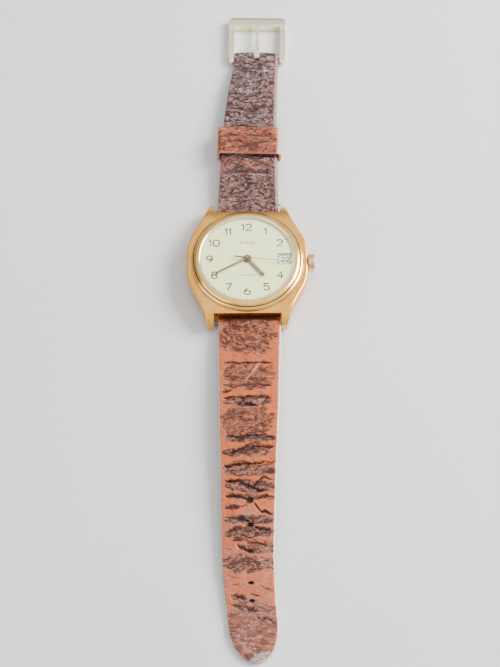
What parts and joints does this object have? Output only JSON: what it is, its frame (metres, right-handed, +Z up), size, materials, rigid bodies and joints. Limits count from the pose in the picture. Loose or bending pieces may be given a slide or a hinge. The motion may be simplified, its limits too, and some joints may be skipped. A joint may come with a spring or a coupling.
{
  "type": "wristwatch",
  "caption": "Round gold-tone automatic wristwatch with date window, domed crystal and worn brown leather strap, laid flat with the straps out.",
  "frame": {"origin": "centre of the case back's flat resting face", "axes": "+Z up through the dial, +Y towards 12 o'clock and the buckle, +X towards the crown"},
  "size_m": [0.0364, 0.2023, 0.0109],
  "materials": {
    "acrylic": "polished clear acrylic",
    "blue_steel": "tempered spring steel",
    "case_gold": "satin and polished yellow gold plate",
    "date_white": "matte white",
    "dial_cream": "fine matte cream lacquer",
    "gasket_rubber": "matte",
    "gilt_brass": "gilt",
    "hand_gold": "polished, brownish gold",
    "keeper_leather": "worn tan leather",
    "pale_gold": "polished pale gold plate",
    "plastic": "matte",
    "rhodium": "fine matte plating",
    "ruby": "polished synthetic ruby",
    "steel": "brushed",
    "strap_brown": "worn dark brown leather, creased",
    "strap_lining": "matte lining leather",
    "strap_tan": "worn tan leather, creased"
  },
  "bodies": {
    "case": {"case_middle": "case_gold", "bezel": "case_gold", "crystal": "acrylic", "crystal_gasket": "gasket_rubber", "case_back": "steel", "case_back_gasket": "gasket_rubber", "crown_tube": "steel", "movement_ring": "plastic", "dial": "dial_cream", "main_plate": "rhodium", "barrel_bridge": "rhodium", "train_bridge": "rhodium", "balance_cock": "rhodium", "pallet_bridge": "rhodium", "jewels": "ruby", "bridge_screws": "blue_steel", "rotor_bearing": "steel", "click": "steel", "lug_spring_bar_12": "steel", "lug_spring_bar_6": "steel"},
    "seconds": {"seconds_wheel": "gilt_brass", "seconds_hand": "hand_gold"},
    "minute": {"centre_wheel": "gilt_brass", "cannon_pinion": "steel", "minute_hand": "hand_gold"},
    "hour": {"hour_wheel": "gilt_brass", "hour_hand": "hand_gold"},
    "minute_wheel": {"minute_wheel": "gilt_brass"},
    "third": {"third_wheel": "gilt_brass"},
    "escape": {"escape_wheel": "steel"},
    "pallets": {"pallet_fork": "steel"},
    "balance": {"balance_wheel": "gilt_brass", "balance_staff": "steel", "hairspring": "blue_steel"},
    "barrel": {"barrel_drum": "gilt_brass", "barrel_cover": "gilt_brass", "mainspring": "blue_steel"},
    "date": {"date_ring": "date_white"},
    "winder": {"winding_pinion": "steel"},
    "crown": {"crown": "case_gold", "stem": "steel", "sliding_clutch": "steel"},
    "crown_wheel": {"crown_wheel": "steel"},
    "ratchet": {"ratchet_wheel": "steel", "barrel_arbor": "steel"},
    "rotor": {"rotor": "rhodium", "rotor_weight": "gilt_brass"},
    "tip_12_left": {"bar_tip_12_left": "steel"},
    "tip_12_right": {"bar_tip_12_right": "steel"},
    "tip_6_left": {"bar_tip_6_left": "steel"},
    "tip_6_right": {"bar_tip_6_right": "steel"},
    "buckle_strap": {"strap_buckle_outer": "strap_brown", "strap_buckle_lining": "strap_lining"},
    "tail_strap": {"strap_tail_outer": "strap_tan", "strap_tail_lining": "strap_lining"},
    "keeper": {"keeper": "keeper_leather"},
    "buckle": {"buckle_frame": "pale_gold", "buckle_bar": "steel"},
    "tongue": {"buckle_tongue": "pale_gold"}
  },
  "joints": [
    {"name": "seconds_spin", "type": "hinge", "parent": "case", "child": "seconds", "pos_m": [0, 0, 0], "axis": [0, 0, -1], "continuous": true},
    {"name": "minute_spin", "type": "hinge", "parent": "case", "child": "minute", "pos_m": [0, 0, 0], "axis": [0, 0, -1], "continuous": true},
    {"name": "hour_spin", "type": "hinge", "parent": "case", "child": "hour", "pos_m": [0, 0, 0], "axis": [0, 0, -1], "continuous": true},
    {"name": "minute_wheel_spin", "type": "hinge", "parent": "case", "child": "minute_wheel", "pos_m": [0.00214, 0.0018, 0], "axis": [0, 0, -1], "continuous": true},
    {"name": "third_spin", "type": "hinge", "parent": "case", "child": "third", "pos_m": [-0.00408, -0.0019, 0], "axis": [0, 0, -1], "continuous": true},
    {"name": "escape_spin", "type": "hinge", "parent": "case", "child": "escape", "pos_m": [0.00186, -0.00399, 0], "axis": [0, 0, -1], "continuous": true},
    {"name": "barrel_spin", "type": "hinge", "parent": "case", "child": "barrel", "pos_m": [0.00211, 0.00497, 0], "axis": [0, 0, -1], "continuous": true},
    {"name": "date_spin", "type": "hinge", "parent": "case", "child": "date", "pos_m": [0, 0, 0], "axis": [0, 0, -1], "continuous": true},
    {"name": "pallet_rock", "type": "hinge", "parent": "case", "child": "pallets", "pos_m": [-0.00001, -0.00586, 0], "axis": [0, 0, -1], "range_deg": [-5, 5]},
    {"name": "balance_swing", "type": "hinge", "parent": "case", "child": "balance", "pos_m": [-0.0033, -0.008, 0], "axis": [0, 0, -1], "range_deg": [-270, 270], "deforming": ["hairspring"]},
    {"name": "rotor_spin", "type": "hinge", "parent": "case", "child": "rotor", "pos_m": [0, 0, 0], "axis": [0, 0, 1], "continuous": true},
    {"name": "winding_spin", "type": "hinge", "parent": "case", "child": "winder", "pos_m": [0.01, 0, 0.0049], "axis": [1, 0, 0], "continuous": true},
    {"name": "crown_pull", "type": "slide", "parent": "winder", "child": "crown", "axis": [1, 0, 0], "range_m": [0, 0.0012]},
    {"name": "crown_wheel_spin", "type": "hinge", "parent": "case", "child": "crown_wheel", "pos_m": [0.0077, 0, 0], "axis": [0, 0, -1], "continuous": true},
    {"name": "ratchet_spin", "type": "hinge", "parent": "case", "child": "ratchet", "pos_m": [0.00211, 0.00497, 0], "axis": [0, 0, -1], "continuous": true},
    {"name": "buckle_strap_swing", "type": "hinge", "parent": "case", "child": "buckle_strap", "pos_m": [0, 0.0178, 0.0026], "axis": [1, 0, 0], "range_deg": [-75, 75]},
    {"name": "tail_strap_swing", "type": "hinge", "parent": "case", "child": "tail_strap", "pos_m": [0, -0.0178, 0.0026], "axis": [-1, 0, 0], "range_deg": [-75, 75]},
    {"name": "keeper_slide", "type": "slide", "parent": "buckle_strap", "child": "keeper", "axis": [0.0297, 0.9996, 0], "range_m": [-0.001, 0.014]},
    {"name": "buckle_swing", "type": "hinge", "parent": "buckle_strap", "child": "buckle", "pos_m": [0.00345, 0.0746, 0.0015], "axis": [0.9998, -0.0209, 0], "range_deg": [-50, 30]},
    {"name": "tongue_swing", "type": "hinge", "parent": "buckle", "child": "tongue", "pos_m": [0.00345, 0.0746, 0.0015], "axis": [0.9998, -0.0209, 0], "range_deg": [0, 95]},
    {"name": "tip_12_left_push", "type": "slide", "parent": "case", "child": "tip_12_left", "axis": [1, 0, 0], "range_m": [0, 0.0011], "stiffness_N_per_m": 150, "springref_m": -0.002},
    {"name": "tip_12_right_push", "type": "slide", "parent": "case", "child": "tip_12_right", "axis": [-1, 0, 0], "range_m": [0, 0.0011], "stiffness_N_per_m": 150, "springref_m": -0.002},
    {"name": "tip_6_left_push", "type": "slide", "parent": "case", "child": "tip_6_left", "axis": [1, 0, 0], "range_m": [0, 0.0011], "stiffness_N_per_m": 150, "springref_m": -0.002},
    {"name": "tip_6_right_push", "type": "slide", "parent": "case", "child": "tip_6_right", "axis": [-1, 0, 0], "range_m": [0, 0.0011], "stiffness_N_per_m": 150, "springref_m": -0.002}
  ],
  "couplings": [
    {"joint": "minute_spin", "follows": "seconds_spin", "ratio": 0.016667},
    {"joint": "hour_spin", "follows": "seconds_spin", "ratio": 0.0013889},
    {"joint": "minute_wheel_spin", "follows": "seconds_spin", "ratio": -0.0055556},
    {"joint": "third_spin", "follows": "seconds_spin", "ratio": -0.13333},
    {"joint": "escape_spin", "follows": "seconds_spin", "ratio": -10},
    {"joint": "barrel_spin", "follows": "seconds_spin", "ratio": -0.0020833},
    {"joint": "date_spin", "follows": "seconds_spin", "ratio": 0.000022401},
    {"joint": "crown_wheel_spin", "follows": "winding_spin", "ratio": -0.375},
    {"joint": "ratchet_spin", "follows": "winding_spin", "ratio": 0.375}
  ]
}
